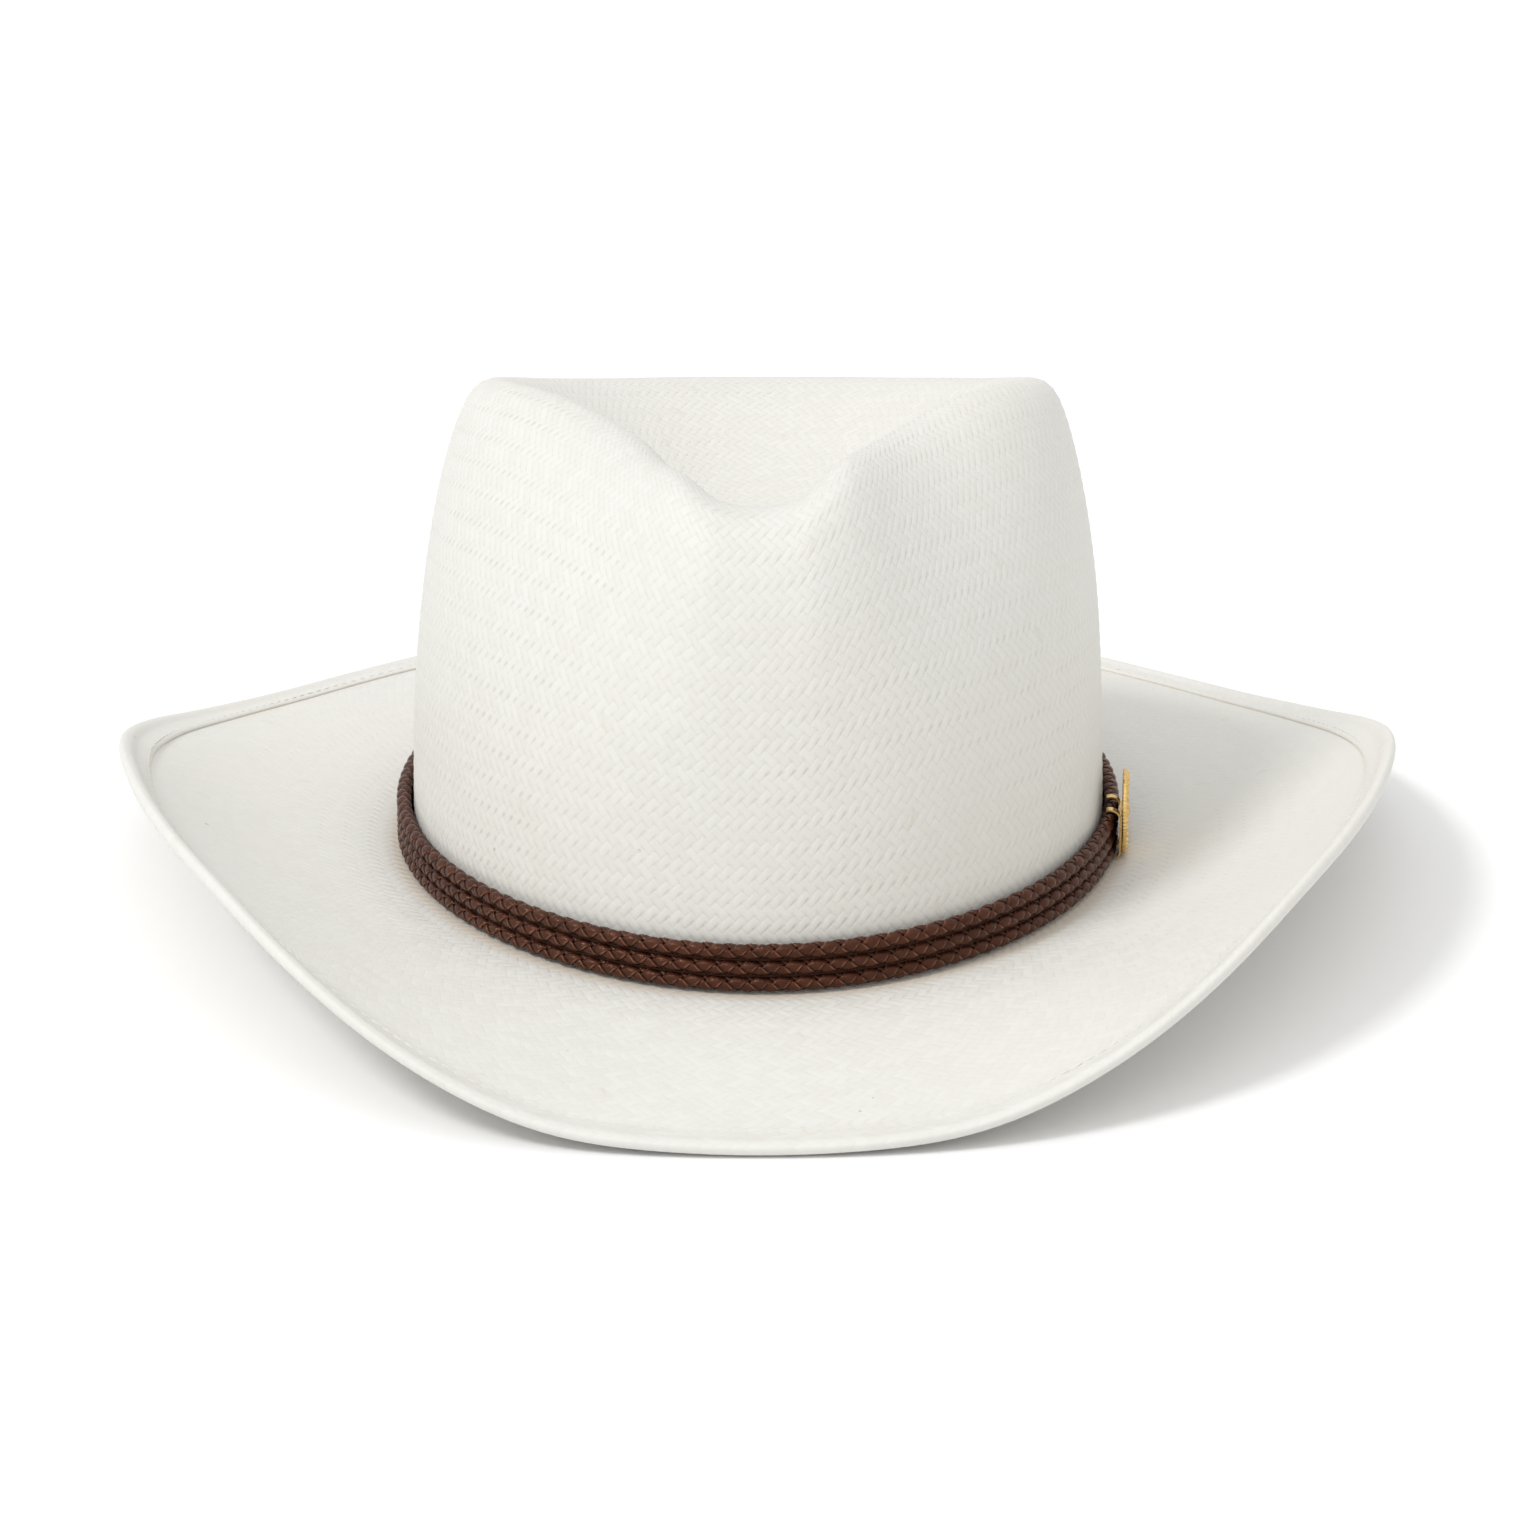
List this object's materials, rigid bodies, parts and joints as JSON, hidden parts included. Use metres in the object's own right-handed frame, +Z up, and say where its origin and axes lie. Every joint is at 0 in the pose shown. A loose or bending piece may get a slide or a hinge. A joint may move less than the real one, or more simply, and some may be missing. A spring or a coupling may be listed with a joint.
{
  "type": "cowboy hat",
  "caption": "White straw western hat with a pinched teardrop crown, curled brim, braided leather cord band and round gold-coloured medallion.",
  "frame": {"origin": "centre of the hat's outline, on the surface that the brim rests on", "axes": "+Z up, the hat's front faces -Y, +X is the wearer's left, which carries the medallion"},
  "size_m": [0.3154, 0.3619, 0.1274],
  "materials": {
    "straw": "fine herringbone-woven paper straw, matt with a faint sheen",
    "wire": "drawn wire",
    "straw_thread": "sewing thread",
    "sweat_leather": "smooth tan sweatband leather",
    "reed_cloth": "cloth-wrapped piping",
    "sweat_thread": "sewing thread",
    "ribbon": "narrow satin ribbon",
    "tag_card": "blank woven tag",
    "braid_leather": "braided dark brown leather, slight sheen",
    "gold_metal": "gold-coloured plating, worn in the recesses"
  },
  "bodies": {
    "hat": {"crown": "straw", "brim": "straw", "brim_wire": "wire", "edge_stitching": "straw_thread", "sweatband": "sweat_leather", "sweatband_reed": "reed_cloth", "sweatband_stitching": "sweat_thread", "sweatband_bow": "ribbon", "size_tag": "tag_card"},
    "hatband": {"band_cord_top": "braid_leather", "band_cord_middle": "braid_leather", "band_cord_bottom": "braid_leather", "concho_keeper": "gold_metal", "concho_post": "gold_metal"},
    "medallion": {"concho": "gold_metal"}
  },
  "joints": [
    {"name": "hatband_lift", "type": "slide", "parent": "hat", "child": "hatband", "axis": [0, 0, 1], "range_m": [0, 0.13]},
    {"name": "concho_turn", "type": "hinge", "parent": "hatband", "child": "medallion", "pos_m": [0.08869, -0.02065, 0.02125], "axis": [0.9976, -0.0698, 0], "continuous": true}
  ]
}
